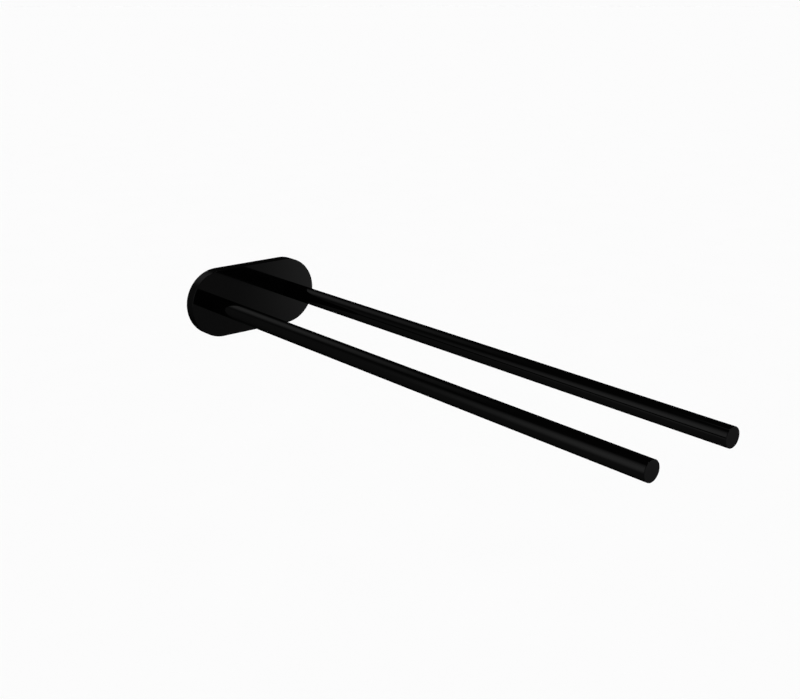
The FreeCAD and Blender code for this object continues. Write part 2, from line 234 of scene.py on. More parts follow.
front_outline, floor_outline = half_outline(front_inset), half_outline(RIM_WALL)
seat = ring_towards(front_outline, BAR_X, BAR_RADIUS + SEAT_CLEARANCE)
spigot_front = ring_towards(front_outline, BAR_X, SPIGOT_RADIUS + SEAT_CLEARANCE)
spigot_back = ring_towards(floor_outline, BAR_X, SPIGOT_RADIUS + SEAT_CLEARANCE)
right_half = np.stack([
    at_level(front_outline, PLATE_FRONT),
    at_level(seat, PLATE_FRONT),
    at_level(seat, BAR_SEAT),
    at_level(spigot_front, BAR_SEAT),
    at_level(spigot_back, POCKET_FLOOR),
    at_level(floor_outline, POCKET_FLOOR),
])
cover_plate = skin("cover_plate_shell", rim, right_half, right_half * [-1, 1, 1])
stand_for(cover_plate, "cover_plate")

# %% [markdown]
# ## Hooks and tapped bosses inside the cover
#
# Two lugs under the cover's upper rim have a sloping face that drops behind the bracket's upper lip. Two
# round-backed posts on the lower rim hold the set screws. They are cast in one piece with the cover. Each
# is an outline carried along a straight line, and here a Boolean is the right tool: it joins them to the
# flat walls of the hidden pocket and leaves the visible front as it is.

# %% Sizes of the hooks and bosses
bracket_low, bracket_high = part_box("wall_bracket")
BRACKET_FRONT = bracket_low.y
BRACKET_HALF_HEIGHT = bracket_high.z
set_screw_low, set_screw_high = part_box("right_set_screw")
CLAMP_X = (set_screw_low.x + set_screw_high.x) / 2
CLAMP_Y = (set_screw_low.y + set_screw_high.y) / 2
SET_SCREW_RADIUS = (set_screw_high.x - set_screw_low.x) / 2

CLAMP_GAP = 0.1 * MM
HOOK_BITE = 2.0 * MM
HOOK_WIDTH = 8.0 * MM
LIFT_PLAY = 0.4 * MM
BOSS_TOP = -(BRACKET_HALF_HEIGHT + HOOK_BITE + LIFT_PLAY)
BOSS_WALL = 0.9 * MM
THREAD_CLEARANCE = 0.05 * MM
HOLE_RADIUS = SET_SCREW_RADIUS + THREAD_CLEARANCE
print(f"set screws at x = {CLAMP_X / MM:.2f} mm, bosses up to z = {BOSS_TOP / MM:.2f} mm")

# %% Prisms for the hooks, the bosses and the holes
BOSS_STEPS = 32
HOLE_STEPS = 48
HOLE_START = -1.1 * END_RADIUS
HOLE_END = BOSS_TOP + HOOK_BITE
WALL_MIDDLE = PLATE_FRONT + FRONT_WALL / 2
RIM_MIDDLE = END_RADIUS - RIM_WALL / 2


def prism(name, start, step):
    """Outline carried along a straight step. A row that falls together in its middle closes each end."""
    end = start + step
    close = [np.broadcast_to(row.mean(axis=0), row.shape) for row in (start, end)]
    return skin(name, np.stack([close[0], start, end, close[1]]))


def clamp_circle(sign, radius, angle):
    """Points (x, y) round a set screw's axis: the axis plus radius (cos a, sin a) for each angle a."""
    return np.stack([sign * CLAMP_X + radius * np.cos(angle), CLAMP_Y + radius * np.sin(angle)], axis=-1)


def hook_prism(sign):
    """Lug whose section in y and z, with the slope of the dovetail on its lower back, runs along X."""
    hook_low = BRACKET_HALF_HEIGHT + CLAMP_GAP
    hook_back = BRACKET_FRONT + HOOK_BITE
    corners = [(WALL_MIDDLE, RIM_MIDDLE), (WALL_MIDDLE, hook_low), (BRACKET_FRONT, hook_low),
               (hook_back, hook_low - HOOK_BITE), (hook_back, RIM_MIDDLE)]
    section = np.insert(corners, 0, sign * CLAMP_X - HOOK_WIDTH / 2, axis=1)
    return prism("hook", section, [HOOK_WIDTH, 0, 0])


def boss_prism(sign):
    """Post whose section, a half circle with straight flanks to the front wall, runs up from the rim."""
    radius = HOLE_RADIUS + BOSS_WALL
    back = clamp_circle(sign, radius, np.linspace(0, np.pi, BOSS_STEPS + 1))
    foot = [(sign * CLAMP_X - radius, WALL_MIDDLE), (sign * CLAMP_X + radius, WALL_MIDDLE)]
    section = np.insert(np.concatenate([back, foot]), 2, -RIM_MIDDLE, axis=1)
    return prism("boss", section, [0, 0, RIM_MIDDLE + BOSS_TOP])


def hole_prism(sign):
    """Round hole for a set screw, from below the rim to past the boss's top."""
    circle = clamp_circle(sign, HOLE_RADIUS, np.linspace(0, 2 * np.pi, HOLE_STEPS, endpoint=False))
    section = np.insert(circle, 2, HOLE_START, axis=1)
    return prism("set_screw_hole", section, [0, 0, HOLE_END - HOLE_START])


# %% Join the hooks and bosses to the cover and make the holes


def combine(piece, tool, operation):
    """Boolean of a piece and a tool. The result becomes the piece's own mesh, and the tool is removed."""
    modifier = piece.modifiers.new("combine", "BOOLEAN")
    modifier.operation = operation
    modifier.object = tool
    graph = bpy.context.evaluated_depsgraph_get()
    mesh = bpy.data.meshes.new_from_object(piece.evaluated_get(graph))
    piece.modifiers.clear()
    piece.data = mesh
    bpy.data.objects.remove(tool)


for sign in SIDES.values():
    combine(cover_plate, hook_prism(sign), "UNION")
    combine(cover_plate, boss_prism(sign), "UNION")
    combine(cover_plate, hole_prism(sign), "DIFFERENCE")
finish_shading(cover_plate)
print("cover with hooks and bosses:", len(cover_plate.data.polygons), "faces")

# %% [markdown]
# ## Bars
#
# Each bar is a length of drawn tube, let into a shallow seat in the plate. It could be a cylinder from the
# menu with a Solidify modifier. But screws, caps and washers are turned shapes too, so one function makes
# them all: a profile of radius and depth carried round the bar's axis. A fine grid keeps the long
# highlights straight.

# %% Two tubes
TURN_STEPS = 144
TURN = 2 * np.pi * np.arange(TURN_STEPS) / TURN_STEPS
LENGTH_STEPS = 40


def turned(profile, centre_x):
    """Surface of revolution about the line x = centre_x, z = 0: the point at radius r and depth y goes to
    (centre_x + r cos a, y, r sin a). A radius or a depth may vary with the angle a."""
    radius = np.stack([np.broadcast_to(r, TURN.shape) for r, _ in profile])
    depth = np.stack([np.broadcast_to(y, TURN.shape) for _, y in profile])
    return np.stack([centre_x + radius * np.cos(TURN), depth, radius * np.sin(TURN)], axis=-1)


def make_bar(side, sign):
    """Tube: along the outside from the seat to the free end, and back through the bore."""
    outside = [(BAR_RADIUS, y) for y in np.linspace(BAR_SEAT, BAR_END, LENGTH_STEPS + 1)]
    inside = [(BORE_RADIUS, BAR_END), (BORE_RADIUS, BAR_SEAT), outside[0]]
    bar = skin(f"{side}_tube", turned(outside + inside, sign * BAR_X))
    stand_for(bar, f"{side}_bar")
    return bar


bars = pair(make_bar)

# %% [markdown]
# ## End caps
#
# A cap closes the free end of each tube: a disc as wide as the tube, with a plug behind it that is pressed
# in. Its edge is rounded by a fraction of a millimetre, which draws the fine line round the end of a bar.
# A Bevel modifier could round it, but in a turned profile the rounding is only a few more points.

# %% Two end caps
CAP_EDGE = 0.3 * MM
CAP_LEAD = 0.5 * MM
PLUG_CLEARANCE = 0.02 * MM
PLUG_RADIUS = BORE_RADIUS - PLUG_CLEARANCE


def make_end_cap(side, sign):
    """Flat face with a rounded edge, a flange as wide as the tube and a plug inside it."""
    low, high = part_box(f"{side}_end_cap")
    face = [(0, low.y), (BAR_RADIUS / 2, low.y), (BAR_RADIUS - CAP_EDGE - CREASE, low.y)]
    edge = [(BAR_RADIUS - inset, low.y + depth) for inset, depth in rounded_edge(CAP_EDGE)]
    flange = [(BAR_RADIUS, low.y + CAP_EDGE + CREASE), (BAR_RADIUS, BAR_END), (PLUG_RADIUS, BAR_END)]
    plug = [(PLUG_RADIUS, high.y - CAP_LEAD), (PLUG_RADIUS - CAP_LEAD, high.y), (0, high.y)]
    cap = skin(f"{side}_cap", turned(face + edge + flange + plug, sign * BAR_X))
    stand_for(cap, f"{side}_end_cap")
    return cap


caps = pair(make_end_cap)

# %% [markdown]
# ## Wall bracket
#
# The bracket is a short length of extruded aluminium with a dovetail section, cut to length, with its
# corners clipped and two countersunk holes for the wall screws. It is made as the plate was: each half
# is ruled between a hole and an outline, front and back, and a strip joins the two outlines. A small
# Bevel modifier takes the sharpness off the sawn edges, which a profile couldn't round in one go.

# %% Outlines of the bracket
BRACKET_HALF_LENGTH = bracket_high.x
BRACKET_BACK_HEIGHT = BRACKET_HALF_HEIGHT + BRACKET_FRONT  # the dovetail's sides slope at 45 degrees
CORNER_LENGTH = 2.0 * MM
CORNER_HEIGHT = math.sqrt(2) * CORNER_LENGTH  # the same length, measured square to the slope
EDGE_STEPS = (16, 3, 32, 3, 16, 32)


def bracket_half(height):
    """Right half of the bracket's outline at a half height, from below the middle to the right and up, then
    closed along x = 0. The clipped corners are short, so they are cut into fewer steps."""
    corners = np.array([
        (0, -height),
        (BRACKET_HALF_LENGTH - CORNER_LENGTH, -height),
        (BRACKET_HALF_LENGTH, CORNER_HEIGHT - height),
        (BRACKET_HALF_LENGTH, height - CORNER_HEIGHT),
        (BRACKET_HALF_LENGTH - CORNER_LENGTH, height),
        (0, height),
    ])
    ends = np.roll(corners, -1, axis=0)
    edges = zip(corners, ends, EDGE_STEPS)
    return np.concatenate([np.linspace(start, end, steps, endpoint=False) for start, end, steps in edges])


def whole_outline(half):
    """A half outline without its middle line, followed by its mirror image."""
    outer = half[:sum(EDGE_STEPS[:-1]) + 1]
    return np.concatenate([outer, (outer * [-1, 1])[::-1][1:-1]])


front_half = bracket_half(BRACKET_HALF_HEIGHT)
back_half = bracket_half(BRACKET_BACK_HEIGHT)
print(f"bracket {2 * BRACKET_HALF_LENGTH / MM:.1f} mm long, {2 * BRACKET_HALF_HEIGHT / MM:.1f} mm high "
      f"in front and {2 * BRACKET_BACK_HEIGHT / MM:.1f} mm at the wall")

# %% Bracket with two countersunk holes
WALL_HOLE_MARGIN = 9.0 * MM
WALL_HOLE_X = BRACKET_HALF_LENGTH - WALL_HOLE_MARGIN
WALL_HOLE_RADIUS = 2.25 * MM
SINK_RADIUS = 4.3 * MM
SINK_FLOOR = BRACKET_FRONT + SINK_RADIUS - WALL_HOLE_RADIUS
SAWN_EDGE = 0.25 * MM

faces = np.stack([
    at_level(front_half, BRACKET_FRONT),
    at_level(ring_towards(front_half, WALL_HOLE_X, SINK_RADIUS), BRACKET_FRONT),
    at_level(ring_towards(front_half, WALL_HOLE_X, WALL_HOLE_RADIUS), SINK_FLOOR),
    at_level(ring_towards(back_half, WALL_HOLE_X, WALL_HOLE_RADIUS), 0),
    at_level(back_half, 0),
])
strip = np.stack([
    at_level(whole_outline(front_half), BRACKET_FRONT),
    at_level(whole_outline(back_half), 0),
])
bracket = skin("dovetail_bracket", faces, faces * [-1, 1, 1], strip)
bevel = bracket.modifiers.new("sawn edges", "BEVEL")
bevel.width = SAWN_EDGE
bevel.segments = 2
bevel.limit_method = "ANGLE"
bevel.angle_limit = SHARP_ANGLE
stand_for(bracket, "wall_bracket")

# %% [markdown]
# ## Threads and sockets
#
# Screws and inserts have threads, and the screws are turned with a hexagon key. A thread could be a helix
# carried round by a Screw modifier, and a socket a Boolean. Here both are part of the turned surface: the
# radius simply depends on level and angle, so that a screw from socket to tip is one grid, and the insert
# can use the very same helix.

# %% Rows of threads and sockets
BAR_PITCH = 0.8 * MM
SET_PITCH = 0.7 * MM
ROWS_PER_TURN = 10
THREAD_DEPTH_SHARE = 0.55
FLAT_SHARE = 0.15
MOUTH_MARGIN = 0.1 * MM
MOUTH_DEPTH = 0.25 * MM


def thread_radius(level, pitch, crest, hand=1):
    """Radius of a thread round the turn at a level: from the crest down by a share of the pitch, as a
    triangle wave of level / pitch + angle / (2 pi) whose crests and roots are flattened."""
    wave = np.abs(2 * np.mod(level / pitch + hand * TURN / (2 * np.pi), 1) - 1)
    flank = np.clip((wave - FLAT_SHARE) / (1 - 2 * FLAT_SHARE), 0, 1)
    return crest - THREAD_DEPTH_SHARE * pitch * flank


def thread_rows(start, end, pitch, crest, hand=1):
    """Profile rows of a thread from one level to another, a fixed number of them to each turn."""
    count = round(abs(end - start) / pitch * ROWS_PER_TURN)
    return [(thread_radius(y, pitch, crest, hand), y) for y in np.linspace(start, end, count + 1)]


def hexagon(across_flats):
    """Distance from the middle to the side of a hexagon: half its width over the cosine of the angle from
    the middle of that side."""
    from_middle = np.mod(TURN, np.pi / 3) - np.pi / 6
    return across_flats / 2 / np.cos(from_middle)


def socket_rows(face, floor, across_flats, out):
    """Hexagon socket from its floor's middle up to its round mouth. out is the sign of the way out."""
    mouth = across_flats / 2 / math.cos(np.pi / 6) + MOUTH_MARGIN
    side = hexagon(across_flats)
    return [(0, floor), (side, floor), (side, face - out * MOUTH_DEPTH), (mouth, face)]


print(f"bar threads are {THREAD_DEPTH_SHARE * BAR_PITCH / MM:.2f} mm deep")

# %% [markdown]
# ## Bar screws
#
# Two stainless screws with flat heads and hexagon sockets pull the bars into their seats from behind. Head,
# shank and socket could be joined by Booleans. As one turned profile, from the middle of the socket's
# floor to the tip, the screw has no seams to close.

# %% Bar screws
HEAD_HEIGHT = 2.75 * MM
HEAD_EDGE = 0.8 * MM
BAR_SOCKET = 3.0 * MM
BAR_SOCKET_DEPTH = 1.6 * MM
BAR_THREAD_CREST = 2.5 * MM
SCREW_TIP = 0.6 * MM
TIP_INSET = 0.72 * MM


def make_bar_screw(side, sign):
    """Socket, head with a broken edge, thread and tapered tip. The head faces the wall."""
    low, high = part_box(f"{side}_bar_screw")
    head = high.z
    under = high.y - HEAD_HEIGHT
    rows = socket_rows(high.y, high.y - BAR_SOCKET_DEPTH, BAR_SOCKET, 1)
    rows += [(head - HEAD_EDGE, high.y), (head, high.y - HEAD_EDGE)]
    rows += [(head, under), (BAR_THREAD_CREST, under)]
    rows += thread_rows(under - SCREW_TIP, low.y + SCREW_TIP, BAR_PITCH, BAR_THREAD_CREST)
    rows += [(BAR_THREAD_CREST - TIP_INSET, low.y), (0, low.y)]
    screw = skin(f"{side}_socket_screw", turned(rows, sign * BAR_X))
    stand_for(screw, f"{side}_bar_screw")
    return screw


bar_screws = pair(make_bar_screw)

# %% [markdown]
# ## Inserts
#
# A brass insert is pressed into the plate end of each tube. Its shoulder lies flush with the tube's end,
# and its spigot centres the bar in the plate. It is hidden while the part is whole, so a plain ring might
# do, but the pieces may be taken apart. Its profile is a loop that ends where it began, so that the turned
# surface closes on itself like a tyre.

# %% Brass inserts


def make_insert(side, sign):
    """Closed loop: down the threaded bore, up the plug in the tube, over the shoulder, up the spigot."""
    low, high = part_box(f"{side}_bar_insert")
    bore = thread_rows(high.y, low.y, BAR_PITCH, BAR_THREAD_CREST + THREAD_CLEARANCE)
    plug = [(PLUG_RADIUS, low.y), (PLUG_RADIUS, BAR_SEAT)]
    spigot = [(SPIGOT_RADIUS, BAR_SEAT), (SPIGOT_RADIUS, high.y)]
    insert = skin(f"{side}_threaded_insert", turned(bore + plug + spigot + bore[:1], sign * BAR_X))
    stand_for(insert, f"{side}_bar_insert")
    return insert


inserts = pair(make_insert)

# %% [markdown]
# ## Washers
#
# Under each screw head, a plain washer spreads the load on the cast wall, and a split spring washer keeps
# the screw from working loose. A Boolean could cut the split out of a ring. Here the section is carried
# from one side of the split to the other and both ends are closed, which leaves clean faces at the slant.

# %% Plain washers and spring washers
WASHER_BORE = 2.65 * MM
WASHER_EDGE = 0.12 * MM
SPLIT_WIDTH = 0.7 * MM
SPLIT_SLANT = 0.8 * MM


def washer_section(outer, low, high):
    """Corners (radius, level) of a washer's section, with its outer edges broken."""
    return [(WASHER_BORE, low), (outer - WASHER_EDGE, low), (outer, low + WASHER_EDGE),
            (outer, high - WASHER_EDGE), (outer - WASHER_EDGE, high), (WASHER_BORE, high)]


def make_plain_washer(side, sign):
    """Section carried once round the bar's axis."""
    low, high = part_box(f"{side}_plain_washer")
    section = washer_section(high.z, low.y, high.y)
    washer = skin(f"{side}_flat_washer", turned(section + section[:1], sign * BAR_X))
    stand_for(washer, f"{side}_plain_washer")
    return washer


def make_spring_washer(side, sign):
    """Section carried round from one side of the split at the top to the other. The split slants, so the
    angle where it begins moves with the level."""
    low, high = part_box(f"{side}_spring_washer")
    outer = high.x - sign * BAR_X
    radius, level = np.array(washer_section(outer, low.y, high.y)).T
    middle = (outer + WASHER_BORE) / 2
    slant = (0.5 - (level - low.y) / (high.y - low.y)) * SPLIT_SLANT / middle
    gap = SPLIT_WIDTH / middle
    share = np.linspace(0, 1, TURN_STEPS + 1)[:, None]
    angle = np.pi / 2 + slant + gap / 2 + share * (2 * np.pi - gap)
    x, z = sign * BAR_X + radius * np.cos(angle), radius * np.sin(angle)
    ring = np.stack([x, np.broadcast_to(level, x.shape), z], axis=-1)
    ends = [np.broadcast_to(row.mean(axis=0), row.shape)[None] for row in (ring[0], ring[-1])]
    washer = skin(f"{side}_split_washer", np.concatenate([ends[0], ring, ends[1]]))
    stand_for(washer, f"{side}_spring_washer")
    return washer


washers = pair(make_plain_washer) + pair(make_spring_washer)

# %% [markdown]
# ## Set screws
#
# Two headless screws in the underside of the cover press their points against the bracket's lower slope.
# They could be copies of a turned screw, stood up by a rotation. A piece should stay unturned, though, so
# the rotation is done in the points: depth and height change places. That mirrors a shape, so the thread
# is made left-handed first and comes out right-handed.

# %% Set screws
SET_SOCKET = 2.0 * MM
SET_SOCKET_DEPTH = 2.5 * MM
SET_EDGE = 0.3 * MM


def make_set_screw(side, sign):
    """Headless screw that stands on end: its socket looks down, and its cone meets the dovetail above."""
    low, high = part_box(f"{side}_set_screw")
    cone = high.z - SET_SCREW_RADIUS
    rows = socket_rows(low.z, low.z + SET_SOCKET_DEPTH, SET_SOCKET, -1)
    rows += [(SET_SCREW_RADIUS - SET_EDGE, low.z)]
    rows += thread_rows(low.z + SET_EDGE, cone, SET_PITCH, SET_SCREW_RADIUS, hand=-1)
    rows += [(0, high.z)]
    upright = turned(rows, 0)[..., [0, 2, 1]] + [sign * CLAMP_X, CLAMP_Y, 0]
    screw = skin(f"{side}_clamp_screw", upright)
    stand_for(screw, f"{side}_set_screw")
    return screw


set_screws = pair(make_set_screw)

# %% [markdown]
# ## Gloss black coat
#
# The coat is almost without colour, and its shine is faint but sharp: in the photograph even a lamp's
# mirror image is only a dark grey, and the bars stay black right up to their outlines. A plain
# dielectric would turn white along every edge that is seen at a low angle. So the black itself gets no
# shine, and a thin clear coat lies on it, about a twelfth of a full one, whose weight a Layer Weight node
# takes back towards the edges. Slight clouding of the black and a very fine orange peel keep it from
# looking like glass.

# %% Node helpers


def new_material(name, **constants):
    """Material with one Principled shader. Constants are set on the shader's own sockets."""
    material = bpy.data.materials.new(name)
    material.use_nodes = True
    shader = material.node_tree.nodes["Principled BSDF"]
    for socket, value in constants.items():
        shader.inputs[socket.replace("_", " ")].default_value = value
    return material, material.node_tree, shader


def add(tree, kind, **settings):
    """New node. A setting names an input socket or else a property."""
    node = tree.nodes.new(kind)
    for name, value in settings.items():
        socket = node.inputs.get(name.replace("_", " "))
        if socket is None:
            setattr(node, name, value)
        else:
            socket.default_value = value
    return node


# %% Patterns, colours and bumps


def noise(tree, scale, detail=2.0, stretch=(1, 1, 1)):
    """Noise over Object coordinates, with about one blotch every 1 / scale metres."""
    place = add(tree, "ShaderNodeTexCoord")
    mapping = add(tree, "ShaderNodeMapping", Scale=stretch)
    texture = add(tree, "ShaderNodeTexNoise", Scale=scale, Detail=detail)
    tree.links.new(place.outputs["Object"], mapping.inputs["Vector"])
    tree.links.new(mapping.outputs["Vector"], texture.inputs["Vector"])
    return texture.outputs["Fac"]


def between(tree, factor, low, high):
    """Range from low to high along a factor, for numbers."""
    mapped = add(tree, "ShaderNodeMapRange", To_Min=low, To_Max=high)
    tree.links.new(factor, mapped.inputs["Value"])
    return mapped.outputs["Result"]


def shades(tree, factor, dark, light):
    """Ramp from a dark to a light colour along a factor."""
    ramp = add(tree, "ShaderNodeValToRGB")
    for stop, colour in zip(ramp.color_ramp.elements, (dark, light)):
        stop.color = (*colour, 1)
    tree.links.new(factor, ramp.inputs["Fac"])
    return ramp.outputs["Color"]


def bumps(tree, height, depth):
    """Bump whose height is depth metres from low to high."""
    bump = add(tree, "ShaderNodeBump", Distance=depth)
    tree.links.new(height, bump.inputs["Height"])
    return bump.outputs["Normal"]


def grey(level):
    """Colour with the same level in red, green and blue."""
    return (level, level, level)


# %% Gloss black on plate, bars and caps
DEEP_BLACK, CLOUDED_BLACK = 0.0002, 0.0006
COAT_WEIGHT = 0.083
COAT_WEIGHT_AT_EDGE = 0.0042
COAT_FADES_FROM, COAT_FADES_TO = 0.2, 0.66
PEEL_DEPTH = 0.001 * MM


def make_black_coat():
    """Black under a clear coat whose weight falls with the slant, 1 - cos of the angle of sight."""
    material, tree, shader = new_material(
        "gloss_black_coat", Specular_IOR_Level=0.0, Coat_IOR=1.5, Coat_Roughness=0.06)
    clouds = shades(tree, noise(tree, scale=60, detail=3), grey(DEEP_BLACK), grey(CLOUDED_BLACK))
    tree.links.new(clouds, shader.inputs["Base Color"])
    slant = add(tree, "ShaderNodeLayerWeight", Blend=0.5)
    weight = add(tree, "ShaderNodeMapRange", From_Min=COAT_FADES_FROM, From_Max=COAT_FADES_TO,
                 To_Min=COAT_WEIGHT, To_Max=COAT_WEIGHT_AT_EDGE)
    tree.links.new(slant.outputs["Facing"], weight.inputs["Value"])
    tree.links.new(weight.outputs["Result"], shader.inputs["Coat Weight"])
    wiped = between(tree, noise(tree, scale=250), low=0.25, high=0.4)
    tree.links.new(wiped, shader.inputs["Roughness"])
    peel = bumps(tree, noise(tree, scale=500, detail=1), PEEL_DEPTH)
    tree.links.new(peel, shader.inputs["Normal"])
    tree.links.new(peel, shader.inputs["Coat Normal"])
    return material


black_coat = make_black_coat()
for piece in (cover_plate, *bars, *caps):
    piece.data.materials.append(black_coat)
print("gloss black on", 1 + len(bars) + len(caps), "pieces")

# %% [markdown]
# ## Dull pocket
#
# The spray that gives the outside its gloss reaches the hollow behind the plate only as dust. There the
# casting stays dull, and its fine grain shows. The hollow could be a piece of its own, but it is one skin
# with the outside. So its faces are found by where their middles lie, and get a second material.

# %% Dull black inside the cover
CASTING_BLACK, DUSTED_BLACK = 0.008, 0.022
GRAIN_DEPTH = 0.02 * MM


def make_dull_black():
    """Dark grey dust over a grainy casting. The same noise drives colour and roughness."""
    material, tree, shader = new_material("dull_black_casting", Specular_IOR_Level=0.2)
    dust = noise(tree, scale=400, detail=4)
    tone = shades(tree, dust, grey(CASTING_BLACK), grey(DUSTED_BLACK))
    tree.links.new(tone, shader.inputs["Base Color"])
    tree.links.new(between(tree, dust, low=0.5, high=0.75), shader.inputs["Roughness"])
    grain = bumps(tree, noise(tree, scale=1500, detail=3), GRAIN_DEPTH)
    tree.links.new(grain, shader.inputs["Normal"])
    return material


def dull_pocket(piece, finish):
    """The faces behind the front wall whose middles lie less than the inner radius from the line that
    joins the oval's two centres wear the second finish."""
    piece.data.materials.append(finish)
    middles = np.empty(3 * len(piece.data.polygons))
    piece.data.polygons.foreach_get("center", middles)
    x, y, z = middles.reshape(-1, 3).T
    from_line = np.hypot(np.maximum(np.abs(x) - END_CENTRE, 0), z)
    inside = (from_line < END_RADIUS - RIM_WALL + CREASE) & (y > POCKET_FLOOR - CREASE)
    piece.data.polygons.foreach_set("material_index", inside.astype(np.int32))
    print("dull faces:", inside.sum())


dull_pocket(cover_plate, make_dull_black())

# %% [markdown]
# ## Metals behind the plate
#
# These pieces only show from behind, but a stranger may take the part off its wall. The bracket keeps
# the fine lines of the extrusion along its length. Brass and steel are turned, so their marks are
# rings: noise that depends on the distance from the bar's axis and on the depth. A picture of scratches
# would need unwrapping, and wouldn't follow the lathe. The set screws are blackened by heat and oil, which
# leaves them dark and a little blotchy.

# %% Rings left by the lathe


def lathe_marks(tree, scale):
    """Noise that is constant round a bar's axis: it reads y and the distance sqrt((|x| - bar)^2 + z^2)."""
    place = add(tree, "ShaderNodeTexCoord")
    parts = add(tree, "ShaderNodeSeparateXYZ")
    tree.links.new(place.outputs["Object"], parts.inputs["Vector"])
    side = add(tree, "ShaderNodeMath", operation="ABSOLUTE")
    tree.links.new(parts.outputs["X"], side.inputs[0])
    across = add(tree, "ShaderNodeMath", operation="SUBTRACT")
    across.inputs[1].default_value = BAR_X
    tree.links.new(side.outputs[0], across.inputs[0])
    flat = add(tree, "ShaderNodeCombineXYZ")
    tree.links.new(across.outputs[0], flat.inputs["X"])
    tree.links.new(parts.outputs["Z"], flat.inputs["Y"])
    distance = add(tree, "ShaderNodeVectorMath", operation="LENGTH")
    tree.links.new(flat.outputs["Vector"], distance.inputs[0])
    ring = add(tree, "ShaderNodeCombineXYZ")
    tree.links.new(distance.outputs["Value"], ring.inputs["X"])
    tree.links.new(parts.outputs["Y"], ring.inputs["Y"])
    texture = add(tree, "ShaderNodeTexNoise", Scale=scale, Detail=2)
    tree.links.new(ring.outputs["Vector"], texture.inputs["Vector"])
    return texture.outputs["Fac"]


# %% Four metals


def make_metal(name, dark, light, rough, depth, marks):
    """Metal whose tool marks drive its colour and its bumps, and whose handling blotches drive its
    roughness. marks takes the node tree."""
    material, tree, shader = new_material(name, Metallic=1.0)
    pattern = marks(tree)
    tree.links.new(shades(tree, pattern, dark, light), shader.inputs["Base Color"])
    tree.links.new(between(tree, noise(tree, scale=300, detail=4), *rough), shader.inputs["Roughness"])
    tree.links.new(bumps(tree, pattern, depth), shader.inputs["Normal"])
    return material


aluminium = make_metal(
    "extruded_aluminium", dark=(0.42, 0.43, 0.44), light=(0.78, 0.79, 0.80),
    rough=(0.3, 0.5), depth=0.012 * MM,
    marks=lambda tree: noise(tree, scale=2200, detail=4, stretch=(0.02, 1, 1)))
brass = make_metal(
    "turned_brass", dark=(0.58, 0.39, 0.15), light=(0.80, 0.60, 0.30),
    rough=(0.2, 0.4), depth=0.004 * MM,
    marks=lambda tree: lathe_marks(tree, scale=6000))
stainless = make_metal(
    "bright_stainless", dark=(0.44, 0.44, 0.43), light=(0.66, 0.66, 0.65),
    rough=(0.18, 0.36), depth=0.004 * MM,
    marks=lambda tree: lathe_marks(tree, scale=7000))
blackened = make_metal(
    "blackened_steel", dark=(0.035, 0.035, 0.04), light=(0.065, 0.062, 0.062),
    rough=(0.35, 0.55), depth=0.004 * MM,
    marks=lambda tree: noise(tree, scale=1800, detail=3))
worn_by = (
    (aluminium, [bracket]),
    (brass, inserts),
    (stainless, bar_screws + washers),
    (blackened, set_screws),
)
for finish, pieces in worn_by:
    for piece in pieces:
        piece.data.materials.append(finish)
    print(finish.name, "on", len(pieces), "pieces")

# %% [markdown]
# ## Camera
#
# The camera's place and angle were worked out from the outline in the photograph: it stands to the left
# of the bars, a little above them, and looks down along them towards the wall. A constraint could aim it
# at a target, but with its place and two angles written down, nothing else can shift the view.

# %% Camera
CAMERA_PLACE = (-0.43363, -0.69236, 0.21232)
SIGHT_AZIMUTH, SIGHT_ELEVATION = 40.058, -17.525
LENS = 50.0


def direction(azimuth, elevation):
    """Unit vector at an azimuth, in degrees from +Y towards +X, and at an elevation above the level."""
    turn, rise = math.radians(azimuth), math.radians(elevation)
    return Vector((math.sin(turn) * math.cos(rise), math.cos(turn) * math.cos(rise), math.sin(rise)))


def make_camera():
    """Camera at its place, turned so that its own -Z axis points along the line of sight."""
    camera = bpy.data.objects.new("camera", bpy.data.cameras.new("camera"))
    camera.data.lens = LENS
    camera.location = CAMERA_PLACE
    sight = direction(SIGHT_AZIMUTH, SIGHT_ELEVATION)
    camera.rotation_euler = sight.to_track_quat("-Z", "Y").to_euler()
    bpy.context.scene.collection.objects.link(camera)
    bpy.context.scene.camera = camera
    print("camera at", tuple(round(x, 3) for x in camera.location))


make_camera()
bpy.context.scene.view_settings.view_transform = "Standard"

# %% [markdown]
# ## Floor and world
#
# The part stands out against a plain pale ground. More light would make any ground white, but it would
# wash out the part as well, so the floor is pale by its own colour. It is a disc that reaches almost to
# the horizon. There the world has the floor's tone, so that no line shows where they meet. Higher up it
# is dim, because a black gloss mirrors it.

# %% Floor and world
FLOOR_LEVEL = -1.6
FLOOR_REACH = 300.0
FLOOR_RINGS = 32
PALE = 0.92
PALE_BLOTCH = 0.99 * PALE
HORIZON_TONE, UPPER_TONE = 0.97, 0.12
DIM_FROM, DIM_TO = 0.3, 0.6


def make_floor():
    """Disc: rings of growing radius, r = reach * t squared."""
    radius = FLOOR_REACH * np.linspace(0, 1, FLOOR_RINGS + 1)[:, None] ** 2
    x, y = radius * np.cos(TURN), radius * np.sin(TURN)
    floor = skin("floor", np.stack([x, y, np.full_like(x, FLOOR_LEVEL)], axis=-1))
    material, tree, shader = new_material("pale_floor", Roughness=0.9, Specular_IOR_Level=0.0)
    tint = shades(tree, noise(tree, scale=3), grey(PALE_BLOTCH), grey(PALE))
    tree.links.new(tint, shader.inputs["Base Color"])
    floor.data.materials.append(material)
    floor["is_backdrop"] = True
    return floor


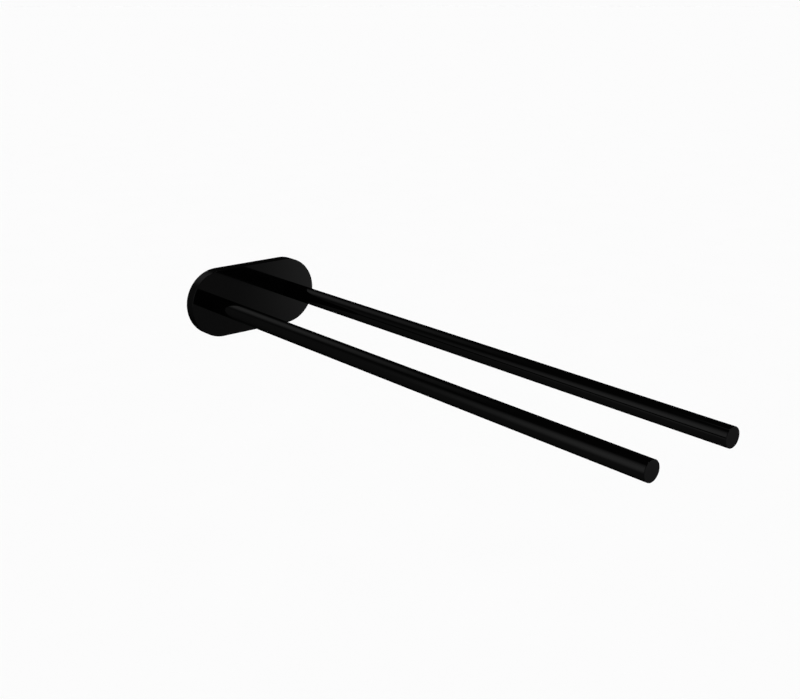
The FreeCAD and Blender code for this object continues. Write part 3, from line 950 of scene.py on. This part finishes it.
def make_world():
    """Backdrop whose tone falls with the height z of the direction of sight."""
    world = bpy.data.worlds.new("studio")
    world.use_nodes = True
    tree = world.node_tree
    place = add(tree, "ShaderNodeTexCoord")
    parts = add(tree, "ShaderNodeSeparateXYZ")
    tree.links.new(place.outputs["Generated"], parts.inputs["Vector"])
    rise = add(tree, "ShaderNodeMapRange", From_Min=DIM_FROM, From_Max=DIM_TO)
    tree.links.new(parts.outputs["Z"], rise.inputs["Value"])
    tone = shades(tree, rise.outputs["Result"], grey(HORIZON_TONE), grey(UPPER_TONE))
    tree.links.new(tone, tree.nodes["Background"].inputs["Color"])
    bpy.context.scene.world = world


stage = bpy.data.collections.new("stage")
stage.objects.link(make_floor())
make_world()
print(f"world tone {HORIZON_TONE} at the horizon, {UPPER_TONE} above")

# %% [markdown]
# ## Lamps
#
# A black mirror shows its surroundings and little else, so the lamps are placed by what they paint on
# the bars. One soft panel stands behind the plate, one to its left and one low at the front right: they
# make the grey bands in the photograph. Three narrow strips draw lines on the bars for whoever looks from
# another side. All fade towards their edges, as a real softbox does, where spots would leave hard points.
# They light the part alone, at a plain level, at which a mid grey stays a mid grey.

# %% A glow that fades towards the edges
LAMP_MIDDLE = 0.5  # a lamp's Parametric coordinates run from 0 to 1 along both sides


def fade_out(tree, fade):
    """Product, for the two sides of a lamp, of a smooth step from 0 at the edge to 1 at the share fade of
    the way to the middle."""
    place = add(tree, "ShaderNodeNewGeometry")
    parts = add(tree, "ShaderNodeSeparateXYZ")
    tree.links.new(place.outputs["Parametric"], parts.inputs["Vector"])
    product = add(tree, "ShaderNodeMath", operation="MULTIPLY")
    for index, axis in enumerate("XY"):
        offset = add(tree, "ShaderNodeMath", operation="SUBTRACT")
        offset.inputs[1].default_value = LAMP_MIDDLE
        tree.links.new(parts.outputs[axis], offset.inputs[0])
        from_middle = add(tree, "ShaderNodeMath", operation="ABSOLUTE")
        tree.links.new(offset.outputs[0], from_middle.inputs[0])
        edge = add(tree, "ShaderNodeMapRange", interpolation_type="SMOOTHSTEP",
                   From_Min=LAMP_MIDDLE, From_Max=LAMP_MIDDLE * (1 - fade), To_Min=0.0, To_Max=1.0)
        tree.links.new(from_middle.outputs[0], edge.inputs["Value"])
        tree.links.new(edge.outputs["Result"], product.inputs[index])
    return product.outputs[0]


# %% Soft lamps that light the part alone
AIM = Vector((0, BAR_END / 2, 0))

part = bpy.data.collections.new("towel_bar")
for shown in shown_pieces():
    part.objects.link(shown)


def softbox(name, azimuth, elevation, distance, width, height, radiance, fade):
    """Area lamp that faces the part from a direction and a distance. Its glow is radiance in the middle
    and falls to nothing over the outer share, fade, of each half side."""
    lamp = bpy.data.lights.new(name, "AREA")
    lamp.shape = "RECTANGLE"
    lamp.size, lamp.size_y = width, height
    lamp.energy = math.pi * width * height * radiance
    lamp.use_nodes = True
    tree = lamp.node_tree
    tree.links.new(fade_out(tree, fade), tree.nodes["Emission"].inputs["Strength"])
    away = direction(azimuth, elevation)
    box = bpy.data.objects.new(name, lamp)
    box.location = AIM + distance * away
    box.rotation_euler = away.to_track_quat("Z", "Y").to_euler()
    box.visible_camera = False
    box.light_linking.receiver_collection = part
    bpy.context.scene.collection.objects.link(box)
    print(f"{name}: {width} x {height} m at {distance} m, {lamp.energy:.0f} W")


# %% Three panels and three strips
softbox("panel_behind", azimuth=3, elevation=30, distance=3.0,
        width=3.0, height=2.5, radiance=5.4, fade=0.95)
softbox("panel_left", azimuth=-65, elevation=20, distance=2.4,
        width=2.3, height=4.6, radiance=3.2, fade=0.88)
softbox("panel_right", azimuth=132.5, elevation=-8, distance=2.2,
        width=1.1, height=1.65, radiance=5.6, fade=0.9)
softbox("strip_front", azimuth=165, elevation=38, distance=2.6,
        width=2.0, height=0.4, radiance=11.0, fade=0.6)
softbox("strip_left", azimuth=-128, elevation=8, distance=2.4,
        width=0.35, height=2.4, radiance=6.0, fade=0.6)
softbox("strip_above", azimuth=0, elevation=90, distance=2.2,
        width=0.4, height=2.6, radiance=8.0, fade=0.6)

# %% [markdown]
# ## Light for the floor
#
# The soft lamps pass the floor by, so it needs a light of its own. A brighter world could give it, but the
# part would mirror that. A sun straight above, as broad as a patch of cloudy sky, lights the whole disc
# evenly, and light linking keeps it off the part.

# %% Overhead sun
SUN_STRENGTH = 2.4
SUN_WIDTH = math.radians(60)

sun = bpy.data.objects.new("overhead", bpy.data.lights.new("overhead", "SUN"))
sun.data.energy = SUN_STRENGTH
sun.data.angle = SUN_WIDTH
sun.light_linking.receiver_collection = stage
bpy.context.scene.collection.objects.link(sun)
print("sun over the floor:", SUN_STRENGTH, "W per square metre")
